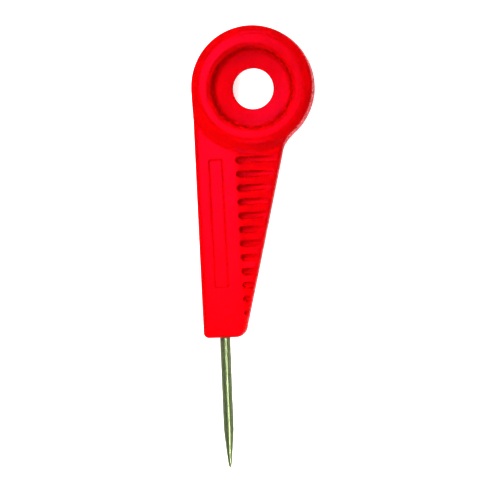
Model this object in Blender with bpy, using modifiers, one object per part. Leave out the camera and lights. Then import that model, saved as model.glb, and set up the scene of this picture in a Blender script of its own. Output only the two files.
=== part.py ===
"""Bookbinding awl: a ring-headed plastic grip moulded round the tang of a pointed steel blade.

The awl lies flat. X runs across the grip, +Y from the point to the ring, and +Z is up through
the thickness. The shapes are worked out in a drawing frame whose Y axis is the blade's own
axis, with y = 0 on the grip's nose face and z = 0 on the mid-plane. One empty then carries
everything to the part's frame: origin in the middle of the outline, on the lowest surface.
"""

import math

import bmesh
import bpy
from mathutils import Vector

MM = 0.001

# Driving dimensions of the whole tool.
OVERALL_LENGTH = 125 * MM
NOSE_HALF_WIDTH = 5.8 * MM
FLARE_ANGLE = math.radians(13.7)
PATTERN_LEAN = math.radians(0.8)
TOUCHING_GAP = 0.3 * MM

# Ring head. The bore and its dish sit a little nearer the nose than the outer rim does.
RING_CENTRE = Vector((10.85 * MM, 70.6 * MM))
RING_RADIUS = 17.25 * MM
RING_HALF_THICKNESS = 5.4 * MM
RING_WALL_HALF_HEIGHT = 3.9 * MM
CREST_OUTER_RADIUS = 14.2 * MM
CREST_INNER_RADIUS = 13.2 * MM
BORE_CENTRE = RING_CENTRE - Vector((0, 0.6 * MM))
BORE_RADIUS = 5.95 * MM
DISH_EDGE_RADIUS = 11.8 * MM
DISH_EDGE_HEIGHT = 4.45 * MM
DISH_FOOT_RADIUS = 10.75 * MM
DISH_FOOT_HEIGHT = 2.1 * MM
DISH_FOOT_BEVEL = 0.2 * MM
WEB_HALF_THICKNESS = 1.25 * MM

# Grip: a flat face on each side, whose right flank falls away to a thinner edge.
GRIP_HALF_THICKNESS = 3.5 * MM
LEFT_EDGE_ROUNDING = 1.2 * MM
RIGHT_EDGE_ROUNDING = 0.8 * MM
RIGHT_WALL_HALF_HEIGHT = 1.5 * MM
FLANK_START_AT_NOSE = 6.15 * MM
FLANK_MIN_WIDTH = 1.3 * MM
NOSE_LEFT_CORNER = 1.6 * MM
NOSE_RIGHT_CORNER = 2.4 * MM
NOSE_EDGE_ROUNDING = 0.5 * MM
SHOULDER_FILLET = 7.0 * MM
UNION_BITE = 0.03 * MM
FLANK_STATIONS = [station * MM for station in (4, 6.4, 9, 13, 20, 32)]

# Finger grooves and label panel, the same on both sides. Each groove's floor rises to the right
# edge, where it meets the falling flank.
GROOVE_COUNT = 12
GROOVE_PITCH = 3.93 * MM
GROOVE_WIDTH = 1.8 * MM
GROOVE_FLOOR_HEIGHT = 1.5 * MM
GROOVE_FLOOR_RISE = 0.75 * MM
FIRST_GROOVE_Y = 6.6 * MM
PANEL_WIDTH = 4.0 * MM
PANEL_LENGTH = 36.0 * MM
PANEL_DEPTH = 0.35 * MM
PANEL_CORNER = 0.5 * MM
PANEL_CENTRE_Y = 32.3 * MM
CUTTER_DEPTH = 3.0 * MM

# Blade: tang in the grip, slightly tapered shank, then the point.
BLADE_RADIUS = 1.4 * MM
SHOULDER_RADIUS = 1.28 * MM
POINT_LENGTH = 11.0 * MM
TIP_PROFILE = [(0.47 * MM, 2.3 * MM), (0.3 * MM, 1.1 * MM), (0.14 * MM, 0.3 * MM), (0, 0)]
TANG_LENGTH = 33.0 * MM
TANG_GROOVES = (8 * MM, 13 * MM, 18 * MM)
TANG_GROOVE_WIDTH = 1.6 * MM
TANG_GROOVE_DEPTH = 0.4 * MM
PADDLE_SIZE = Vector((3.6 * MM, 1.7 * MM, 6.0 * MM))
PADDLE_INSET = 1.5 * MM

RING_SEGMENTS = 64
BLADE_SEGMENTS = 24
ARC_STEPS = 4
SHARP_ANGLE = math.radians(35)

BLADE_REACH = OVERALL_LENGTH - RING_CENTRE.y - RING_RADIUS


# ---------------------------------------------------------------- scene and object helpers

def clear_scene():
    for thing in list(bpy.data.objects):
        bpy.data.objects.remove(thing, do_unlink=True)


def new_collection(name):
    group = bpy.data.collections.new(name)
    bpy.context.scene.collection.children.link(group)
    return group


def add_object(name, data, group, frame):
    thing = bpy.data.objects.new(name, data)
    thing.parent = frame
    group.objects.link(thing)
    return thing


def hide_helper(thing):
    thing.hide_render = True
    thing.display_type = 'WIRE'
    return thing


def plastic(name, colour, roughness):
    material = bpy.data.materials.new(name)
    material.use_nodes = True
    shader = material.node_tree.nodes["Principled BSDF"]
    shader.inputs["Base Color"].default_value = (*colour, 1)
    shader.inputs["Roughness"].default_value = roughness
    return material


def steel(name, colour, roughness):
    material = plastic(name, colour, roughness)
    shader = material.node_tree.nodes["Principled BSDF"]
    shader.inputs["Metallic"].default_value = 1
    return material


def shade_round(thing, material):
    thing.data.materials.append(material)
    thing.data.shade_smooth()
    thing.data.set_sharp_from_angle(angle=SHARP_ANGLE)


# ---------------------------------------------------------------- shape helpers

def arc(centre, radii, start, end, steps):
    """Points on an elliptical arc, with its angles in degrees from +X."""
    points = []
    for step in range(steps + 1):
        angle = math.radians(start + (end - start) * step / steps)
        points.append((centre[0] + radii[0] * math.cos(angle), centre[1] + radii[1] * math.sin(angle)))
    return points


def turned_mesh(name, profile):
    """Edges of a profile of (radius, height) points in the XZ plane, ready for a Screw."""
    mesh = bpy.data.meshes.new(name)
    points = [(radius, 0, height) for radius, height in profile]
    mesh.from_pydata(points, [(i, i + 1) for i in range(len(points) - 1)], [])
    return mesh


def add_screw(thing, segments):
    screw = thing.modifiers.new("turn", 'SCREW')
    screw.axis = 'Z'
    screw.steps = segments
    screw.render_steps = segments
    screw.use_merge_vertices = True
    screw.merge_threshold = 0.00001


def add_boolean(thing, other, operation):
    boolean = thing.modifiers.new(other.name, 'BOOLEAN')
    boolean.operation = operation
    boolean.object = other
    boolean.solver = 'EXACT'


def flat_solid(name, outlines, thickness, group, frame):
    """One mesh object from closed flat outlines, each extruded by the thickness about z = 0."""
    curve = bpy.data.curves.new(name, 'CURVE')
    curve.dimensions = '2D'
    curve.fill_mode = 'BOTH'
    curve.extrude = thickness / 2
    for outline in outlines:
        spline = curve.splines.new('POLY')
        spline.points.add(len(outline) - 1)
        for point, (x, y) in zip(spline.points, outline):
            point.co = (x, y, 0, 1)
        spline.use_cyclic_u = True
    source = bpy.data.objects.new(name + "_outline", curve)
    group.objects.link(source)
    bpy.context.view_layer.update()
    evaluated = source.evaluated_get(bpy.context.evaluated_depsgraph_get())
    mesh = bpy.data.meshes.new_from_object(evaluated)
    mesh.name = name
    welded = bmesh.new()
    welded.from_mesh(mesh)
    bmesh.ops.remove_doubles(welded, verts=welded.verts, dist=0.000001)
    bmesh.ops.recalc_face_normals(welded, faces=welded.faces)
    welded.to_mesh(mesh)
    welded.free()
    thing = add_object(name, mesh, group, frame)
    thing.matrix_local = source.matrix_world
    bpy.data.objects.remove(source, do_unlink=True)
    return hide_helper(thing)


def place_on_both_sides(cutter, height, group, frame):
    """Put a cutter at +height, and a copy that shares its mesh at -height."""
    cutter.location.z = height
    twin = hide_helper(add_object(cutter.name + "_back", cutter.data, group, frame))
    twin.location.z = -height
    return [cutter, twin]


# ---------------------------------------------------------------- grip outline

def left_edge_lean():
    """Angle by which the left edge leans from the blade's axis to just touch the ring."""
    to_centre = RING_CENTRE - Vector((-NOSE_HALF_WIDTH, 0))
    touch = math.asin((RING_RADIUS - UNION_BITE) / to_centre.length)
    return touch - math.atan2(to_centre.x, to_centre.y)


def shoulder_fillet_centre():
    """Centre of the hollow fillet that joins the flaring right edge to the ring."""
    along = Vector((math.sin(FLARE_ANGLE), math.cos(FLARE_ANGLE)))
    outward = Vector((along.y, -along.x))
    start = Vector((NOSE_HALF_WIDTH, 0)) + outward * SHOULDER_FILLET
    offset = start - RING_CENTRE
    reach = RING_RADIUS + SHOULDER_FILLET - UNION_BITE
    half_b = offset.dot(along)
    root = math.sqrt(half_b ** 2 - offset.length_squared + reach ** 2)
    return start + along * (-half_b - root)


LEFT_LEAN = left_edge_lean()
FILLET_CENTRE = shoulder_fillet_centre()
FILLET_START_Y = FILLET_CENTRE.y + SHOULDER_FILLET * math.sin(FLARE_ANGLE)
FILLET_TOUCH = FILLET_CENTRE + (RING_CENTRE - FILLET_CENTRE).normalized() * SHOULDER_FILLET
GROOVE_ALONG = Vector((math.cos(PATTERN_LEAN), math.sin(PATTERN_LEAN)))
GROOVE_ACROSS = Vector((-math.sin(PATTERN_LEAN), math.cos(PATTERN_LEAN)))


def corner_inset(distance, radius):
    """How far a rounded corner has drawn an edge in, at a distance from the end face."""
    if distance >= radius:
        return 0.0
    return radius - math.sqrt(radius ** 2 - (radius - distance) ** 2)


def left_edge(y):
    return -NOSE_HALF_WIDTH - math.tan(LEFT_LEAN) * y + corner_inset(y, NOSE_LEFT_CORNER)


def right_edge(y):
    """The flaring edge, its fillet into the ring, and a straight run inside the ring."""
    if y <= FILLET_START_Y:
        return NOSE_HALF_WIDTH + math.tan(FLARE_ANGLE) * y - corner_inset(y, NOSE_RIGHT_CORNER)
    rise = min(y, FILLET_TOUCH.y) - FILLET_CENTRE.y
    return FILLET_CENTRE.x - math.sqrt(SHOULDER_FILLET ** 2 - rise ** 2)


def flank_start(y):
    """Where the flat face ends and the flank begins to fall to the right edge."""
    leaning = FLANK_START_AT_NOSE - math.tan(PATTERN_LEAN) * y
    return min(leaning, right_edge(y) - FLANK_MIN_WIDTH)


def grip_section(y):
    """Closed outline across the grip at y, as (x, z) points from the left round the front."""
    face = GRIP_HALF_THICKNESS - corner_inset(y, NOSE_EDGE_ROUNDING)
    left = left_edge(y)
    right = right_edge(y)
    round_left = LEFT_EDGE_ROUNDING
    front = arc((left + round_left, face - round_left), (round_left, round_left), 180, 90, ARC_STEPS)
    front.append((flank_start(y), face))
    centre = (right - RIGHT_EDGE_ROUNDING, RIGHT_WALL_HALF_HEIGHT)
    across = centre[0] - flank_start(y)
    down = face - centre[1]
    slope = math.acos(RIGHT_EDGE_ROUNDING / math.hypot(across, down)) - math.atan2(across, down)
    radii = (RIGHT_EDGE_ROUNDING, RIGHT_EDGE_ROUNDING)
    front += arc(centre, radii, 90 - math.degrees(slope), 0, ARC_STEPS)
    return front + [(x, -z) for x, z in reversed(front)]


def grip_stations():
    """Heights of the sections, closest together round the nose corners and the fillet."""
    corner = [NOSE_RIGHT_CORNER * (1 - math.cos(math.radians(angle))) for angle in range(0, 91, 15)]
    turn = [FILLET_START_Y + (FILLET_TOUCH.y - FILLET_START_Y) * step / 4 for step in range(5)]
    return corner + FLANK_STATIONS + turn + [RING_CENTRE.y]


def loft(name, stations, section):
    """Skin the sections, all with the same number of points, in flat triangles with closed ends."""
    skin = bmesh.new()
    rings = [[skin.verts.new((x, y, z)) for x, z in section(y)] for y in stations]
    for low, high in zip(rings, rings[1:]):
        for here in range(len(low)):
            after = (here + 1) % len(low)
            skin.faces.new((low[here], low[after], high[after], high[here]))
    skin.faces.new(rings[0])
    skin.faces.new(rings[-1])
    bmesh.ops.recalc_face_normals(skin, faces=skin.faces)
    bmesh.ops.triangulate(skin, faces=skin.faces)
    mesh = bpy.data.meshes.new(name)
    skin.to_mesh(mesh)
    skin.free()
    return mesh


# ---------------------------------------------------------------- ring head

def ring_profile():
    """Crowned rim with a narrow flat crest and an upright wall, before the bore is cut."""
    crown = (RING_RADIUS - CREST_OUTER_RADIUS, RING_HALF_THICKNESS - RING_WALL_HALF_HEIGHT)
    sag = (crown[0] ** 2 + crown[1] ** 2) / (2 * crown[1])
    sweep = math.degrees(math.asin(crown[0] / sag))
    centre = (CREST_OUTER_RADIUS, RING_HALF_THICKNESS - sag)
    upper = [(0, RING_HALF_THICKNESS)] + arc(centre, (sag, sag), 90, 90 - sweep, ARC_STEPS + 1)
    return upper + [(radius, -height) for radius, height in reversed(upper)]


def bore_profile():
    """The cutter for the bore and for the dish round it on both sides."""
    fall = (CREST_INNER_RADIUS - DISH_EDGE_RADIUS, RING_HALF_THICKNESS - DISH_EDGE_HEIGHT)
    sag = (fall[0] ** 2 + fall[1] ** 2) / (2 * fall[1])
    sweep = math.degrees(math.asin(fall[0] / sag))
    centre = (CREST_INNER_RADIUS, RING_HALF_THICKNESS - sag)
    clear = RING_HALF_THICKNESS + MM
    upper = [(0, clear), (CREST_INNER_RADIUS, clear)]
    upper += arc(centre, (sag, sag), 90, 90 + sweep, ARC_STEPS)
    upper.append((DISH_FOOT_RADIUS, DISH_FOOT_HEIGHT + DISH_FOOT_BEVEL))
    upper.append((DISH_FOOT_RADIUS - DISH_FOOT_BEVEL, DISH_FOOT_HEIGHT))
    upper.append((BORE_RADIUS, WEB_HALF_THICKNESS))
    return upper + [(radius, -height) for radius, height in reversed(upper)]


# ---------------------------------------------------------------- grooves and panel

def groove_start(row):
    """Where a groove's rounded end touches the line on which the flank begins."""
    y = FIRST_GROOVE_Y + row * GROOVE_PITCH
    return Vector((FLANK_START_AT_NOSE - math.tan(PATTERN_LEAN) * y, y))


def groove_length(row):
    """From the groove's rounded end to the right edge."""
    start = groove_start(row)
    return right_edge(start.y) - start.x


def groove_outlines():
    """Round-ended slots that start at the flank and run out past the right edge."""
    half = GROOVE_WIDTH / 2
    outlines = []
    for row in range(GROOVE_COUNT):
        length = groove_length(row) + MM
        local = arc((half, 0), (half, half), 90, 270, 2 * ARC_STEPS)
        local += [(length, -half), (length, half)]
        outlines.append([groove_start(row) + GROOVE_ALONG * u + GROOVE_ACROSS * v for u, v in local])
    return outlines


def slope_floors(mesh):
    """Draw the flat faces of the groove cutters together towards the right edge."""
    for vertex in mesh.vertices:
        row = round((vertex.co.xy.dot(GROOVE_ACROSS) - FIRST_GROOVE_Y) / GROOVE_PITCH)
        reach = (vertex.co.xy - groove_start(row)).dot(GROOVE_ALONG)
        rise = GROOVE_FLOOR_RISE * reach / groove_length(row)
        vertex.co.z -= math.copysign(rise, vertex.co.z)


def panel_outline():
    """A long rectangle with rounded corners, centred on the blade's axis."""
    reach = (PANEL_WIDTH / 2 - PANEL_CORNER, PANEL_LENGTH / 2 - PANEL_CORNER)
    local = []
    for start, side, end in ((0, 1, 1), (90, -1, 1), (180, -1, -1), (270, 1, -1)):
        centre = (side * reach[0], end * reach[1])
        local += arc(centre, (PANEL_CORNER, PANEL_CORNER), start, start + 90, ARC_STEPS - 1)
    centre = Vector((0, PANEL_CENTRE_Y))
    return [centre + GROOVE_ALONG * u + GROOVE_ACROSS * v for u, v in local]


# ---------------------------------------------------------------- blade

def tang_profile(clearance):
    """The tang's round part from its end downwards, swollen all over by a clearance."""
    radius = BLADE_RADIUS + clearance
    neck = radius - TANG_GROOVE_DEPTH
    half = TANG_GROOVE_WIDTH / 2 - clearance
    points = [(0, TANG_LENGTH + clearance), (radius, TANG_LENGTH + clearance)]
    for height in reversed(TANG_GROOVES):
        points += [(radius, height + half), (neck, height + half)]
        points += [(neck, height - half), (radius, height - half)]
    return points


def blade_profile():
    """Tang, tapered shank, ground point and its slightly blunt tip."""
    tip = -BLADE_REACH
    points = tang_profile(0) + [(BLADE_RADIUS, 0), (SHOULDER_RADIUS, tip + POINT_LENGTH)]
    return points + [(radius, tip + height) for radius, height in TIP_PROFILE]


def paddle_block(name, clearance, group, frame):
    """The block of the tang's flattened end, which keeps the blade from turning."""
    bpy.ops.mesh.primitive_cube_add(size=1)
    block = bpy.context.active_object
    block.name = name
    for owner in list(block.users_collection):
        owner.objects.unlink(block)
    group.objects.link(block)
    size = PADDLE_SIZE + Vector((2, 2, 2)) * clearance
    for vertex in block.data.vertices:
        vertex.co = [vertex.co[i] * size[i] for i in range(3)]
    block.parent = frame
    block.rotation_euler.x = -math.pi / 2
    block.location.y = TANG_LENGTH - PADDLE_INSET - PADDLE_SIZE.z / 2
    return hide_helper(block)


def turned_along_y(name, profile, group, frame):
    """A turned shape whose axis is the blade's, with the profile's height along +Y."""
    thing = add_object(name, turned_mesh(name, profile), group, frame)
    thing.rotation_euler.x = -math.pi / 2
    add_screw(thing, BLADE_SEGMENTS)
    return thing


# ---------------------------------------------------------------- the two pieces

def make_handle(parts, cutters, frame):
    handle = add_object("handle", loft("handle", grip_stations(), grip_section), parts, frame)
    shade_round(handle, plastic("red_plastic", (0.72, 0.003, 0.008), 0.38))

    ring = add_object("ring_blank", turned_mesh("ring_blank", ring_profile()), cutters, frame)
    ring.location = (*RING_CENTRE, 0)
    add_screw(ring, RING_SEGMENTS)
    add_boolean(handle, hide_helper(ring), 'UNION')

    bore = add_object("bore_cutter", turned_mesh("bore_cutter", bore_profile()), cutters, frame)
    bore.location = (*BORE_CENTRE, 0)
    add_screw(bore, RING_SEGMENTS)
    add_boolean(handle, hide_helper(bore), 'DIFFERENCE')

    grooves = flat_solid("groove_cutters", groove_outlines(), CUTTER_DEPTH, cutters, frame)
    slope_floors(grooves.data)
    groove_height = GROOVE_FLOOR_HEIGHT + CUTTER_DEPTH / 2
    for cutter in place_on_both_sides(grooves, groove_height, cutters, frame):
        add_boolean(handle, cutter, 'DIFFERENCE')

    panel = flat_solid("panel_cutter", [panel_outline()], CUTTER_DEPTH, cutters, frame)
    panel_height = GRIP_HALF_THICKNESS - PANEL_DEPTH + CUTTER_DEPTH / 2
    for cutter in place_on_both_sides(panel, panel_height, cutters, frame):
        add_boolean(handle, cutter, 'DIFFERENCE')

    mouth = [(BLADE_RADIUS + TOUCHING_GAP, -MM), (0, -MM)]
    socket_profile = tang_profile(TOUCHING_GAP) + mouth
    socket = turned_along_y("socket_cutter", socket_profile, cutters, frame)
    add_boolean(handle, hide_helper(socket), 'DIFFERENCE')
    paddle = paddle_block("paddle_cutter", TOUCHING_GAP, cutters, frame)
    add_boolean(handle, paddle, 'DIFFERENCE')
    return handle


def make_blade(parts, cutters, frame):
    blade = turned_along_y("blade", blade_profile(), parts, frame)
    shade_round(blade, steel("plated_steel", (0.6, 0.6, 0.53), 0.28))
    add_boolean(blade, paddle_block("tang_paddle", 0, cutters, frame), 'UNION')
    return blade


def make_frame(group):
    """The empty that carries the drawing frame to the part's frame."""
    frame = bpy.data.objects.new("awl_frame", None)
    left = RING_CENTRE.x - RING_RADIUS
    right = RING_CENTRE.x + RING_RADIUS
    top = RING_CENTRE.y + RING_RADIUS
    frame.location = (-(left + right) / 2, OVERALL_LENGTH / 2 - top, RING_HALF_THICKNESS)
    group.objects.link(frame)
    return frame


def main():
    clear_scene()
    parts = new_collection("bookbinding_awl")
    cutters = new_collection("cutters")
    frame = make_frame(parts)
    make_handle(parts, cutters, frame)
    make_blade(parts, cutters, frame)
    bpy.context.view_layer.update()


main()
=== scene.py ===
"""Looks of the bookbinding awl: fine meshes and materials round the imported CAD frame.

The handle is one moulding, so it is drawn as one rounded solid: a signed distance field is
built up from the plan outline, the rim, the dish, the grooves and the panel, each joined or
cut with a rounded edge, and is then skinned with quads. The blade is a turned profile.
Both are worked out in the handle's drawing frame: blade axis x = 0, nose face y = 0 and
mid-plane z = 0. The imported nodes' boxes give the place of that frame and the main sizes.
"""

import math

import bpy
import numpy as np
from mathutils import Matrix, Vector


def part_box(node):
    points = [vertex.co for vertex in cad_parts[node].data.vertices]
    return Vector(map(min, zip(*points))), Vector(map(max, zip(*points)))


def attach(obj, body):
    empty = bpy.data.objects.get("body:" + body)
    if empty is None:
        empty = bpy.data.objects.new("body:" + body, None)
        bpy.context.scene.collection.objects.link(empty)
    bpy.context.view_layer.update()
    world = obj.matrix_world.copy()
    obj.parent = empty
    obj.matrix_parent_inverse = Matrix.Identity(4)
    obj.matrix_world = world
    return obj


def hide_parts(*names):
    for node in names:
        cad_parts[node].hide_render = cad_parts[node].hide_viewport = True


MM = 0.001

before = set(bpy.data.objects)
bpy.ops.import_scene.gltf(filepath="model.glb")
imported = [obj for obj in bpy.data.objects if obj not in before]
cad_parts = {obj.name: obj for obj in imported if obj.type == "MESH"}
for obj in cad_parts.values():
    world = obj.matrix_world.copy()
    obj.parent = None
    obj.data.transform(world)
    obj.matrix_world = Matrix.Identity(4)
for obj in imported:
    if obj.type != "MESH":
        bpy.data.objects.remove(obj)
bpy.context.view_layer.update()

# ---------------------------------------------------------------- sizes from the frame

HANDLE_LOW, HANDLE_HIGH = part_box("handle")
BLADE_LOW, BLADE_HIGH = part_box("blade")
RING_RADIUS = (HANDLE_HIGH.x - HANDLE_LOW.x) / 2
HALF_THICKNESS = (HANDLE_HIGH.z - HANDLE_LOW.z) / 2
ORIGIN = Vector(((BLADE_LOW.x + BLADE_HIGH.x) / 2, HANDLE_LOW.y, HANDLE_LOW.z + HALF_THICKNESS))
RING_X = (HANDLE_HIGH.x + HANDLE_LOW.x) / 2 - ORIGIN.x
RING_Y = HANDLE_HIGH.y - RING_RADIUS - ORIGIN.y
BLADE_RADIUS = (BLADE_HIGH.z - BLADE_LOW.z) / 2
BLADE_REACH = ORIGIN.y - BLADE_LOW.y
TANG_LENGTH = BLADE_HIGH.y - ORIGIN.y

# ---------------------------------------------------------------- sizes of the handle's features

NOSE_HALF_WIDTH = 5.8 * MM
FLARE_ANGLE = math.radians(13.7)
PATTERN_LEAN = math.radians(0.8)
NOSE_LEFT_CORNER = 1.6 * MM
NOSE_RIGHT_CORNER = 2.4 * MM
SHOULDER_FILLET = 2.2 * MM

GRIP_HALF_THICKNESS = 3.5 * MM
FLANK_FALL = 1.3 * MM
FLANK_START_AT_NOSE = 6.15 * MM
FLANK_MIN_WIDTH = 1.3 * MM
FLANK_SOFTNESS = 0.3 * MM
LEFT_EDGE_ROUNDING = 1.2 * MM
RIGHT_EDGE_ROUNDING = 0.8 * MM
NOSE_EDGE_ROUNDING = 0.6 * MM
SIDE_BLEND = 4 * MM
END_BLEND = 2.5 * MM

RIM_LAND_RADIUS = 14.4 * MM
RIM_CROWN_RADIUS = 3.6 * MM
RIM_EDGE_ROUNDING = 0.35 * MM
CREASE_FILLET = 1.6 * MM

BORE_DROP = 0.45 * MM
BORE_RADIUS = 5.85 * MM
BORE_EDGE_ROUNDING = 0.3 * MM
WEB_HALF_THICKNESS = 0.8 * MM
WEB_SLOPE = 0.10
DISH_FOOT_RADIUS = 10.9 * MM
DISH_FOOT_HEIGHT = 1.05 * MM
DISH_TAPER = 0.18
DISH_EDGE_ROUNDING = 1.2 * MM
DISH_FOOT_FILLET = 0.8 * MM

GROOVE_COUNT = 12
GROOVE_PITCH = 3.93 * MM
GROOVE_HALF_WIDTH = 0.94 * MM
GROOVE_FLOOR_HEIGHT = 1.5 * MM
GROOVE_FLOOR_RISE = 0.75 * MM
GROOVE_DRAFT = 0.12
GROOVE_FLOOR_FILLET = 0.5 * MM
GROOVE_EDGE_ROUNDING = 0.3 * MM
FIRST_GROOVE_Y = 6.6 * MM

PANEL_HALF_WIDTH = 1.85 * MM
PANEL_HALF_LENGTH = 18.0 * MM
PANEL_DEPTH = 0.35 * MM
PANEL_CORNER = 0.5 * MM
PANEL_EDGE_ROUNDING = 0.35 * MM
PANEL_CENTRE_X = -0.15 * MM
PANEL_CENTRE_Y = 32.3 * MM

WALL_DRAFT = 0.017
PARTING_RIDGE = 0.05 * MM
PARTING_WIDTH = 0.18 * MM
SOCKET_CLEARANCE = 0.05 * MM
PADDLE_HALF_SIZE = (1.8 * MM, 3.0 * MM, 0.85 * MM)
PADDLE_INSET = 1.5 * MM

# ---------------------------------------------------------------- sizes of the blade's features

SHOULDER_RADIUS = 1.35 * MM
POINT_LENGTH = 11.0 * MM
POINT_SWELL = 0.04 * MM
POINT_END_RADIUS = 0.55 * MM
TIP_LENGTH = 2.3 * MM
TIP_WIDTH_POWER = 1.15
TIP_LENGTH_POWER = 1.3
TANG_CHAMFER = 0.3 * MM
TANG_GROOVES = (18 * MM, 13 * MM, 8 * MM)
TANG_GROOVE_HALF_WIDTH = 0.8 * MM
TANG_GROOVE_DEPTH = 0.4 * MM
TANG_GROOVE_SLANT = 0.15 * MM
SHANK_STEPS = 24
POINT_STEPS = 20
TIP_STEPS = 10

# ---------------------------------------------------------------- spacing of the handle's mesh

COARSE_PLAN = 0.35 * MM
FINE_ACROSS = 0.16 * MM
FINE_ALONG = 0.18 * MM
COARSE_HEIGHT = 0.28 * MM
FINE_HEIGHT = 0.16 * MM
GRID_MARGIN = 1.2 * MM
FIRST_HEIGHT = 0.05 * MM
NORMAL_STEP = 0.1 * MM

SMALLEST = 1e-9
LEAST_SLOPE_SQUARED = 0.1


# ---------------------------------------------------------------- joining and cutting distances

def round_union(a, b, radius):
    """Either shape, with a hollow fillet of that radius where they meet."""
    reach_a = np.maximum(radius - a, 0)
    reach_b = np.maximum(radius - b, 0)
    return np.maximum(radius, np.minimum(a, b)) - np.hypot(reach_a, reach_b)


def round_overlap(a, b, radius):
    """What both shapes hold, with its edge rounded to that radius."""
    reach_a = np.maximum(radius + a, 0)
    reach_b = np.maximum(radius + b, 0)
    return np.minimum(-radius, np.maximum(a, b)) + np.hypot(reach_a, reach_b)


def smooth_step(value):
    share = np.clip(value, 0, 1)
    return share * share * (3 - 2 * share)


def mix(a, b, share):
    return a + (b - a) * share


# ---------------------------------------------------------------- the handle's distance field

def left_lean():
    """Angle by which the left edge leans from the blade's axis to just touch the ring."""
    across = RING_X + NOSE_HALF_WIDTH
    return math.asin(RING_RADIUS / math.hypot(across, RING_Y)) - math.atan2(across, RING_Y)


LEFT_LEAN = left_lean()


def plan_outline(x, y, from_ring):
    """Distance from the outline seen from above: grip, ring, and the fillet on the right."""
    left = -(x + NOSE_HALF_WIDTH + math.tan(LEFT_LEAN) * y) * math.cos(LEFT_LEAN)
    right = (x - NOSE_HALF_WIDTH - math.tan(FLARE_ANGLE) * y) * math.cos(FLARE_ANGLE)
    grip = round_overlap(left, -y, NOSE_LEFT_CORNER)
    grip = np.maximum(grip, round_overlap(right, -y, NOSE_RIGHT_CORNER))
    grip = np.maximum(grip, y - RING_Y)
    fillet = SHOULDER_FILLET * smooth_step(x / RING_X) + SMALLEST
    return round_union(grip, from_ring - RING_RADIUS, fillet)


def grip_face(x, y, height):
    """Distance above the grip's face, which is flat on the left and falls away on the right."""
    right = NOSE_HALF_WIDTH + math.tan(FLARE_ANGLE) * y
    start = np.minimum(FLANK_START_AT_NOSE - math.tan(PATTERN_LEAN) * y, right - FLANK_MIN_WIDTH)
    slope = FLANK_FALL / np.maximum(right - start, FLANK_MIN_WIDTH)
    past = x - start
    past = (past + np.hypot(past, FLANK_SOFTNESS)) / 2
    return (height - GRIP_HALF_THICKNESS + slope * past) / np.hypot(1, slope)


def edge_rounding(x, y, from_ring):
    """Radius of the rounded edge between the face and the side wall."""
    grip = mix(LEFT_EDGE_ROUNDING, RIGHT_EDGE_ROUNDING, smooth_step(x / SIDE_BLEND + 0.5))
    grip = mix(NOSE_EDGE_ROUNDING, grip, smooth_step(y / END_BLEND))
    near_ring = smooth_step((RING_RADIUS + END_BLEND - from_ring) / END_BLEND)
    return mix(grip, RIM_EDGE_ROUNDING, near_ring)


def outer_body(x, y, height, from_ring):
    """Grip and rim with their side walls, before anything is cut."""
    past_land = np.maximum(from_ring - RIM_LAND_RADIUS, 0)
    above_centre = np.maximum(height - (HALF_THICKNESS - RIM_CROWN_RADIUS), 0)
    rim = np.hypot(past_land, above_centre) - RIM_CROWN_RADIUS
    top = round_union(grip_face(x, y, height), rim, CREASE_FILLET)
    wall = plan_outline(x, y, from_ring) + WALL_DRAFT * height
    wall = wall - PARTING_RIDGE * np.exp(-((height / PARTING_WIDTH) ** 2))
    return round_overlap(top, wall, edge_rounding(x, y, from_ring))


def cut_dish(body, x, y, height, from_ring):
    """Sink the dish into both sides, leave the web, and cut the bore through it."""
    from_bore = np.hypot(x - RING_X, y - RING_Y + BORE_DROP)
    wall = DISH_FOOT_RADIUS + (height - DISH_FOOT_HEIGHT) * DISH_TAPER
    wall = (wall - from_bore) / math.hypot(1, DISH_TAPER)
    body = round_overlap(body, wall, DISH_EDGE_ROUNDING)
    web = height - WEB_HALF_THICKNESS - (from_bore - BORE_RADIUS) * WEB_SLOPE
    web = np.maximum(web / math.hypot(1, WEB_SLOPE), from_ring - RIM_LAND_RADIUS)
    body = round_union(body, web, DISH_FOOT_FILLET)
    return round_overlap(body, BORE_RADIUS - from_bore, BORE_EDGE_ROUNDING)


def cut_grooves(body, across, along, height):
    """Round-ended finger grooves, whose floors rise to meet the flank at the right edge."""
    row = np.clip(np.round((along - FIRST_GROOVE_Y) / GROOVE_PITCH), 0, GROOVE_COUNT - 1)
    centre = FIRST_GROOVE_Y + row * GROOVE_PITCH
    length = NOSE_HALF_WIDTH - FLANK_START_AT_NOSE
    length = length + (math.tan(FLARE_ANGLE) + math.tan(PATTERN_LEAN)) * centre
    slope = GROOVE_FLOOR_RISE / length
    past_start = across - FLANK_START_AT_NOSE
    side = along - centre
    before_end = np.minimum(past_start - GROOVE_HALF_WIDTH, 0)
    above_floor = (height - GROOVE_FLOOR_HEIGHT - slope * past_start) / np.hypot(1, slope)
    slot = np.hypot(before_end, side) - GROOVE_HALF_WIDTH
    slot = slot + GROOVE_DRAFT * (GRIP_HALF_THICKNESS - height)
    groove = round_overlap(slot, -above_floor, GROOVE_FLOOR_FILLET)
    return round_overlap(body, -groove, GROOVE_EDGE_ROUNDING)


def cut_panel(body, across, along, height):
    """The shallow label panel, left plain."""
    centre = PANEL_CENTRE_X + math.sin(PATTERN_LEAN) * PANEL_CENTRE_Y
    side = np.abs(across - centre) - PANEL_HALF_WIDTH + PANEL_CORNER
    end = np.abs(along - PANEL_CENTRE_Y) - PANEL_HALF_LENGTH + PANEL_CORNER
    outline = np.hypot(np.maximum(side, 0), np.maximum(end, 0)) - PANEL_CORNER
    outline = outline + np.minimum(np.maximum(side, end), 0)
    floor = GRIP_HALF_THICKNESS - PANEL_DEPTH - height
    panel = round_overlap(outline, floor, PANEL_EDGE_ROUNDING)
    return round_overlap(body, -panel, PANEL_EDGE_ROUNDING)


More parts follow.
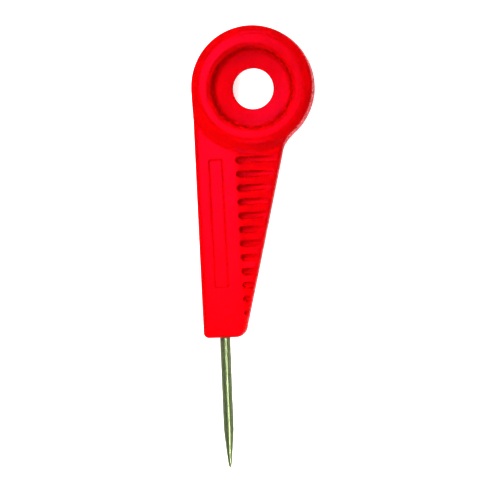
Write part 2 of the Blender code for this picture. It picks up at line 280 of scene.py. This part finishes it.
def cut_socket(body, x, y, height):
    """The space that the tang fills, with the flattened end that keeps it from turning."""
    tang = np.hypot(x, height) - BLADE_RADIUS - SOCKET_CLEARANCE
    tang = np.maximum(tang, y - TANG_LENGTH - SOCKET_CLEARANCE)
    centre = (0, TANG_LENGTH - PADDLE_INSET - PADDLE_HALF_SIZE[1], 0)
    sides = [np.abs(c - middle) - half - SOCKET_CLEARANCE
             for c, middle, half in zip((x, y, height), centre, PADDLE_HALF_SIZE)]
    paddle = np.maximum(np.maximum(sides[0], sides[1]), sides[2])
    return np.maximum(body, -np.minimum(tang, paddle))


def handle_field(x, y, z):
    """Signed distance from the handle's surface, negative in the plastic."""
    height = np.abs(z)
    from_ring = np.hypot(x - RING_X, y - RING_Y)
    across = x * math.cos(PATTERN_LEAN) + y * math.sin(PATTERN_LEAN)
    along = y * math.cos(PATTERN_LEAN) - x * math.sin(PATTERN_LEAN)
    body = outer_body(x, y, height, from_ring)
    body = cut_dish(body, x, y, height, from_ring)
    body = cut_grooves(body, across, along, height)
    body = cut_panel(body, across, along, height)
    return cut_socket(body, x, y, height)


# ---------------------------------------------------------------- skinning a distance field

def graded_lines(low, high, coarse, fine, places, reach):
    """Grid lines from low to high, closer together near the places where detail lies."""
    lines = [low]
    while lines[-1] < high:
        nearest = min((abs(lines[-1] - place) for place in places), default=high - low)
        share = float(smooth_step(nearest / reach - 0.5))
        lines.append(lines[-1] + mix(fine, coarse, share))
    return np.array(lines)


def crossing_points(values, cells, lines):
    """For each cell, the mean of the points where its edges cross the surface."""
    total = np.zeros((len(cells), 3))
    count = np.zeros((len(cells), 1))
    corners = [(a, b, c) for a in (0, 1) for b in (0, 1) for c in (0, 1)]
    for corner in corners:
        for axis in range(3):
            if corner[axis]:
                continue
            far = tuple(1 if i == axis else c for i, c in enumerate(corner))
            first = cells + corner
            second = cells + far
            here = values[tuple(first.T)]
            there = values[tuple(second.T)]
            crossed = (here < 0) != (there < 0)
            share = np.where(crossed, here / np.where(crossed, here - there, 1), 0)[:, None]
            start = np.stack([lines[i][first[:, i]] for i in range(3)], 1)
            end = np.stack([lines[i][second[:, i]] for i in range(3)], 1)
            total += np.where(crossed[:, None], start + (end - start) * share, 0)
            count += crossed[:, None]
    return total / count


def quads_across(inside, number, axis):
    """One quad for each grid edge along an axis that the surface crosses."""
    low = [slice(1, -1)] * 3
    low[axis] = slice(0, -1)
    high = list(low)
    high[axis] = slice(1, None)
    starts = inside[tuple(low)]
    crossed = starts != inside[tuple(high)]
    nodes = np.argwhere(crossed) + [0 if i == axis else 1 for i in range(3)]
    outward = starts[crossed]
    second, third = [i for i in range(3) if i != axis]
    ring = []
    for step in ((0, 0), (-1, 0), (-1, -1), (0, -1)):
        cell = nodes.copy()
        cell[:, second] += step[0]
        cell[:, third] += step[1]
        ring.append(number[tuple(cell.T)])
    quads = np.stack(ring, 1)
    turned = outward if axis == 1 else ~outward
    quads[turned] = quads[turned][:, ::-1]
    return quads


def slope_at(points, field, step=0.02 * MM):
    """The field's slope at each point, which is square to the surface there."""
    slope = np.zeros_like(points)
    for axis in range(3):
        nudge = np.zeros(3)
        nudge[axis] = step
        slope[:, axis] = (field(*(points + nudge).T) - field(*(points - nudge).T)) / (2 * step)
    return slope


def settle(points, field, rounds=4, most=0.15 * MM):
    """Move each point down the field's slope onto the surface."""
    for _ in range(rounds):
        slope = slope_at(points, field)
        length = np.maximum((slope ** 2).sum(1), LEAST_SLOPE_SQUARED)
        move = -slope * (field(*points.T) / length)[:, None]
        size = np.maximum(np.linalg.norm(move, axis=1), SMALLEST)
        points = points + move * np.minimum(1, most / size)[:, None]
    return points


def skin_field(name, field, lines, to_drawing):
    """A quad mesh on the surface of a field, sampled on a grid of uneven lines."""
    grid = np.meshgrid(*lines, indexing="ij")
    values = field(*to_drawing(*grid))
    inside = values < 0
    count = np.zeros([size - 1 for size in inside.shape], int)
    for corner in np.ndindex(2, 2, 2):
        count += inside[tuple(slice(c, c + size) for c, size in zip(corner, count.shape))]
    active = (count > 0) & (count < 8)
    number = np.full(active.shape, -1)
    number[active] = np.arange(active.sum())
    points = crossing_points(values, np.argwhere(active), lines)
    points = np.stack(to_drawing(*points.T), 1)
    points = settle(points, field)
    quads = np.concatenate([quads_across(inside, number, axis) for axis in range(3)])
    mesh = bpy.data.meshes.new(name)
    mesh.from_pydata(points.tolist(), [], quads.tolist())
    mesh.shade_smooth()
    slope = slope_at(points, field, step=NORMAL_STEP)
    mesh.normals_split_custom_set_from_vertices(slope / np.linalg.norm(slope, axis=1)[:, None])
    return mesh


def handle_lines():
    """Grid lines in the grooves' own direction, closest at the panel's and grooves' edges."""
    panel = PANEL_CENTRE_X + math.sin(PATTERN_LEAN) * PANEL_CENTRE_Y
    across_places = [panel - PANEL_HALF_WIDTH, panel + PANEL_HALF_WIDTH]
    across_places.append(FLANK_START_AT_NOSE + FLANK_SOFTNESS)
    along_places = [PANEL_CENTRE_Y - PANEL_HALF_LENGTH, PANEL_CENTRE_Y + PANEL_HALF_LENGTH]
    for row in range(GROOVE_COUNT):
        centre = FIRST_GROOVE_Y + row * GROOVE_PITCH
        along_places += [centre - GROOVE_HALF_WIDTH, centre + GROOVE_HALF_WIDTH]
    low_across = RING_X - RING_RADIUS - GRID_MARGIN
    high_across = RING_X + RING_RADIUS + RING_Y * math.sin(PATTERN_LEAN) + GRID_MARGIN
    high_along = RING_Y + RING_RADIUS + GRID_MARGIN
    top = HALF_THICKNESS + GRID_MARGIN / 3
    faces = [GRIP_HALF_THICKNESS - PANEL_DEPTH / 2, GROOVE_FLOOR_HEIGHT]
    across = graded_lines(low_across, high_across, COARSE_PLAN, FINE_ACROSS, across_places, 0.5 * MM)
    along = graded_lines(-GRID_MARGIN, high_along, COARSE_PLAN, FINE_ALONG, along_places, 0.4 * MM)
    above = graded_lines(FIRST_HEIGHT, top, COARSE_HEIGHT, FINE_HEIGHT, faces, 0.4 * MM)
    return [across, along, np.concatenate([-above[::-1], above])]


def from_pattern(across, along, z):
    """Turn grid coordinates, which lie along the grooves, into the drawing frame."""
    cos, sin = math.cos(PATTERN_LEAN), math.sin(PATTERN_LEAN)
    return across * cos - along * sin, across * sin + along * cos, z


# ---------------------------------------------------------------- the blade

def tang_outline():
    """(radius, y) from the top of the tang down past its three grooves."""
    inner = BLADE_RADIUS - TANG_GROOVE_DEPTH
    points = [(0, TANG_LENGTH), (BLADE_RADIUS - TANG_CHAMFER, TANG_LENGTH)]
    points.append((BLADE_RADIUS, TANG_LENGTH - TANG_CHAMFER))
    for centre in TANG_GROOVES:
        top = centre + TANG_GROOVE_HALF_WIDTH
        bottom = centre - TANG_GROOVE_HALF_WIDTH
        points += [(BLADE_RADIUS, top), (inner, top - TANG_GROOVE_SLANT)]
        points += [(inner, bottom + TANG_GROOVE_SLANT), (BLADE_RADIUS, bottom)]
    return points


def blade_profile():
    """(radius, y) down the blade: tang, slightly tapered shank, ground point, rounded tip."""
    tip = -BLADE_REACH
    point_start = tip + POINT_LENGTH
    point_end = tip + TIP_LENGTH
    points = tang_outline()
    for step in range(SHANK_STEPS + 1):
        share = step / SHANK_STEPS
        points.append((mix(BLADE_RADIUS, SHOULDER_RADIUS, share), mix(0, point_start, share)))
    for step in range(1, POINT_STEPS + 1):
        share = step / POINT_STEPS
        swell = POINT_SWELL * math.sin(math.pi * share)
        radius = mix(SHOULDER_RADIUS, POINT_END_RADIUS, share) + swell
        points.append((radius, mix(point_start, point_end, share)))
    for step in range(1, TIP_STEPS):
        angle = math.pi / 2 * step / TIP_STEPS
        radius = POINT_END_RADIUS * math.cos(angle) ** TIP_WIDTH_POWER
        points.append((radius, mix(point_end, tip, math.sin(angle) ** TIP_LENGTH_POWER)))
    points.append((0, tip))
    return points


def turned_mesh(name, profile, segments):
    """Turn a profile that starts and ends on the Y axis, with a pole at each end."""
    middle = profile[1:-1]
    vertices = [(0, profile[0][1], 0), (0, profile[-1][1], 0)]
    for radius, y in middle:
        for turn in range(segments):
            angle = math.tau * turn / segments
            vertices.append((radius * math.cos(angle), y, radius * math.sin(angle)))
    faces = []
    for turn in range(segments):
        after = (turn + 1) % segments
        faces.append((0, 2 + turn, 2 + after))
        for row in range(len(middle) - 1):
            upper, lower = 2 + row * segments, 2 + (row + 1) * segments
            faces.append((upper + turn, lower + turn, lower + after, upper + after))
        last = 2 + (len(middle) - 1) * segments
        faces.append((last + turn, 1, last + after))
    mesh = bpy.data.meshes.new(name)
    mesh.from_pydata(vertices, [], faces)
    mesh.shade_smooth()
    mesh.set_sharp_from_angle(angle=math.radians(40))
    return mesh


# ---------------------------------------------------------------- materials

class Nodes:
    """Short calls for building one material's node tree."""

    def __init__(self, name):
        self.material = bpy.data.materials.new(name)
        self.material.use_nodes = True
        self.tree = self.material.node_tree
        self.shader = self.tree.nodes["Principled BSDF"]

    def add(self, kind, **values):
        node = self.tree.nodes.new(kind)
        for key, value in values.items():
            if key in node.inputs:
                node.inputs[key].default_value = value
            else:
                setattr(node, key, value)
        return node

    def link(self, source, target):
        self.tree.links.new(source, target)

    def set(self, **values):
        for key, value in values.items():
            self.shader.inputs[key.replace("_", " ")].default_value = value

    def place(self, scale=(1, 1, 1), location=(0, 0, 0)):
        """Object coordinates in millimetres, stretched by a scale."""
        coordinates = self.add("ShaderNodeTexCoord")
        mapping = self.add("ShaderNodeMapping")
        mapping.inputs["Scale"].default_value = [axis / MM for axis in scale]
        mapping.inputs["Location"].default_value = location
        self.link(coordinates.outputs["Object"], mapping.inputs["Vector"])
        return mapping.outputs["Vector"]

    def noise(self, vector, scale, detail=3.0, roughness=0.5):
        node = self.add("ShaderNodeTexNoise", Scale=scale, Detail=detail, Roughness=roughness)
        self.link(vector, node.inputs["Vector"])
        return node.outputs["Fac"]

    def span(self, value, low, high, start=0.3, end=0.7):
        """Map a noise value onto a range."""
        node = self.add("ShaderNodeMapRange")
        self.link(value, node.inputs["Value"])
        node.inputs["From Min"].default_value = start
        node.inputs["From Max"].default_value = end
        node.inputs["To Min"].default_value = low
        node.inputs["To Max"].default_value = high
        return node.outputs["Result"]

    def blend(self, share, first, second):
        node = self.add("ShaderNodeMix", data_type='RGBA')
        node.inputs[6].default_value = (*first, 1)
        node.inputs[7].default_value = (*second, 1)
        self.link(share, node.inputs[0])
        return node.outputs[2]

    def bump(self, height, strength, distance, below=None):
        node = self.add("ShaderNodeBump", Strength=strength, Distance=distance)
        self.link(height, node.inputs["Height"])
        if below is not None:
            self.link(below, node.inputs["Normal"])
        return node.outputs["Normal"]


def red_plastic():
    """Glossy moulded plastic: a deep red with faint flow marks and a very slight ripple."""
    nodes = Nodes("red_plastic")
    place = nodes.place()
    flow = nodes.noise(nodes.place(scale=(1, 0.35, 1)), 0.35, detail=4)
    colour = nodes.blend(nodes.span(flow, 0, 1), (0.57, 0.001, 0.002), (0.61, 0.002, 0.004))
    nodes.link(colour, nodes.shader.inputs["Base Color"])
    haze = nodes.noise(place, 1.3, detail=5)
    nodes.link(nodes.span(haze, 0.24, 0.31), nodes.shader.inputs["Roughness"])
    ripple = nodes.bump(nodes.noise(place, 0.6, detail=1), 0.10, 0.05 * MM)
    nodes.link(ripple, nodes.shader.inputs["Normal"])
    nodes.set(IOR=1.4, Specular_IOR_Level=0.2, Specular_Tint=(1, 0.1, 0.8, 1))
    return nodes.material


def plated_steel():
    """Plated steel gone slightly green, with draw lines along it and grinding marks round it."""
    nodes = Nodes("plated_steel")
    lines = nodes.noise(nodes.place(scale=(6, 0.08, 6)), 1.6, detail=4)
    rings = nodes.noise(nodes.place(scale=(0.2, 7, 0.2)), 1.2, detail=4)
    spots = nodes.noise(nodes.place(), 1.1, detail=6)
    colour = nodes.blend(nodes.span(spots, 0, 1), (0.23, 0.27, 0.16), (0.30, 0.34, 0.22))
    nodes.link(colour, nodes.shader.inputs["Base Color"])
    nodes.link(nodes.span(lines, 0.34, 0.46), nodes.shader.inputs["Roughness"])
    drawn = nodes.bump(lines, 0.2, 0.02 * MM)
    ground = nodes.bump(rings, 0.15, 0.02 * MM, below=drawn)
    nodes.link(ground, nodes.shader.inputs["Normal"])
    nodes.set(Metallic=0.9, Specular_Tint=(0.08, 0.10, 0.05, 1))
    return nodes.material


def pale_floor():
    """Matt and nearly white, with a glow of its own that keeps shadows on it faint."""
    nodes = Nodes("pale_floor")
    nodes.set(Base_Color=(0.5, 0.5, 0.5, 1), Roughness=0.9, Specular_IOR_Level=0.1)
    nodes.set(Emission_Color=(1, 1, 1, 1), Emission_Strength=0.78)
    return nodes.material


# ---------------------------------------------------------------- pieces

def place_piece(name, mesh, material, node):
    """Put a mesh made in the drawing frame where the CAD node is, and let it stand for it."""
    mesh.transform(Matrix.Translation(ORIGIN))
    mesh.materials.append(material)
    piece = bpy.data.objects.new(name, mesh)
    bpy.context.scene.collection.objects.link(piece)
    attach(piece, "root")
    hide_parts(node)
    return piece


def make_pieces():
    handle = skin_field("moulded_handle", handle_field, handle_lines(), from_pattern)
    place_piece("moulded_handle", handle, red_plastic(), "handle")
    blade = turned_mesh("steel_blade", blade_profile(), 96)
    place_piece("steel_blade", blade, plated_steel(), "blade")


# ---------------------------------------------------------------- floor, light and camera

def make_floor():
    """A round pale floor that sweeps up into a low wall all round."""
    radius, bend, wall = 1.0, 0.25, 0.35
    bend_steps = 8
    profile = [(0, 0), (radius, 0)]
    for step in range(1, bend_steps + 1):
        angle = math.pi / 2 * step / bend_steps
        profile.append((radius + bend * math.sin(angle), bend * (1 - math.cos(angle))))
    profile.append((radius + bend, wall))
    segments = 96
    vertices = [(0, 0, 0)]
    for reach, height in profile[1:]:
        for turn in range(segments):
            angle = math.tau * turn / segments
            vertices.append((reach * math.cos(angle), reach * math.sin(angle), height))
    faces = []
    for turn in range(segments):
        after = (turn + 1) % segments
        faces.append((0, 1 + turn, 1 + after))
        for row in range(len(profile) - 2):
            low, high = 1 + row * segments, 1 + (row + 1) * segments
            faces.append((low + turn, high + turn, high + after, low + after))
    mesh = bpy.data.meshes.new("floor")
    mesh.from_pydata(vertices, [], faces)
    mesh.shade_smooth()
    mesh.materials.append(pale_floor())
    floor = bpy.data.objects.new("floor", mesh)
    bpy.context.scene.collection.objects.link(floor)


def add_area_light(name, place, target, size, power, spread=180):
    """A round soft light. Its spread, in degrees, keeps a narrow one on its target."""
    lamp = bpy.data.lights.new(name, 'AREA')
    lamp.shape = 'DISK'
    lamp.size = size
    lamp.energy = power
    lamp.spread = math.radians(spread)
    light = bpy.data.objects.new(name, lamp)
    light.location = place
    light.rotation_euler = (target - place).to_track_quat('-Z', 'Y').to_euler()
    bpy.context.scene.collection.objects.link(light)


def make_world():
    """Even white light from all round."""
    world = bpy.data.worlds.new("studio")
    world.use_nodes = True
    shade = world.node_tree.nodes["Background"]
    shade.inputs["Color"].default_value = (1, 1, 1, 1)
    shade.inputs["Strength"].default_value = 0.52
    bpy.context.scene.world = world


def make_light():
    """Soft lights on the ring and grip, and narrow ones that give the plastic and steel gloss."""
    left_face = Vector((-0.013, 0.018, HALF_THICKNESS))
    near_face = Vector((-0.013, 0.035, 0.005))
    shank = Vector((-0.011, -0.074, 0.005))
    point = Vector((-0.011, -0.072, 0.005))
    add_area_light("key", Vector((-0.04, 0.08, 0.18)), left_face, 0.06, 0.115)
    add_area_light("overhead", Vector((-0.003, 0, 0.5)), left_face, 0.18, 0.06)
    add_area_light("gloss", Vector((-0.086, 0.035, 0.6)), left_face, 0.09, 0.0036, spread=10)
    add_area_light("shank_gloss", Vector((0.22, -0.12, 0.54)), shank, 0.16, 0.012, spread=5)
    add_area_light("point_gloss", Vector((0.20, -0.24, 0.50)), point, 0.12, 0.015, spread=5)
    add_area_light("far_light", Vector((-0.04, 0.40, 0.45)), left_face, 0.12, 0.020, spread=16)
    add_area_light("near_light", Vector((-0.06, -0.38, 0.45)), near_face, 0.12, 0.014, spread=13)
    make_world()


def make_camera():
    """Looks straight down on the awl from slightly to its right, rolled as it was laid."""
    distance, side_angle, roll, span = 0.62, math.radians(6.7), math.radians(2.285), 0.1419
    data = bpy.data.cameras.new("camera")
    data.lens = data.sensor_width * distance / span
    camera = bpy.data.objects.new("camera", data)
    target = Vector((-0.00276, -0.00086, HALF_THICKNESS))
    back = Vector((math.sin(side_angle), 0, math.cos(side_angle)))
    up = Vector((math.sin(roll), math.cos(roll), 0))
    right = up.cross(back).normalized()
    up = back.cross(right)
    turn = Matrix((right, up, back)).transposed().to_4x4()
    camera.matrix_world = Matrix.Translation(target + back * distance) @ turn
    bpy.context.scene.collection.objects.link(camera)
    bpy.context.scene.camera = camera


make_pieces()
make_floor()
make_light()
make_camera()
bpy.context.scene.view_settings.view_transform = 'Standard'
bpy.context.scene.view_settings.gamma = 0.62
bpy.context.view_layer.update()
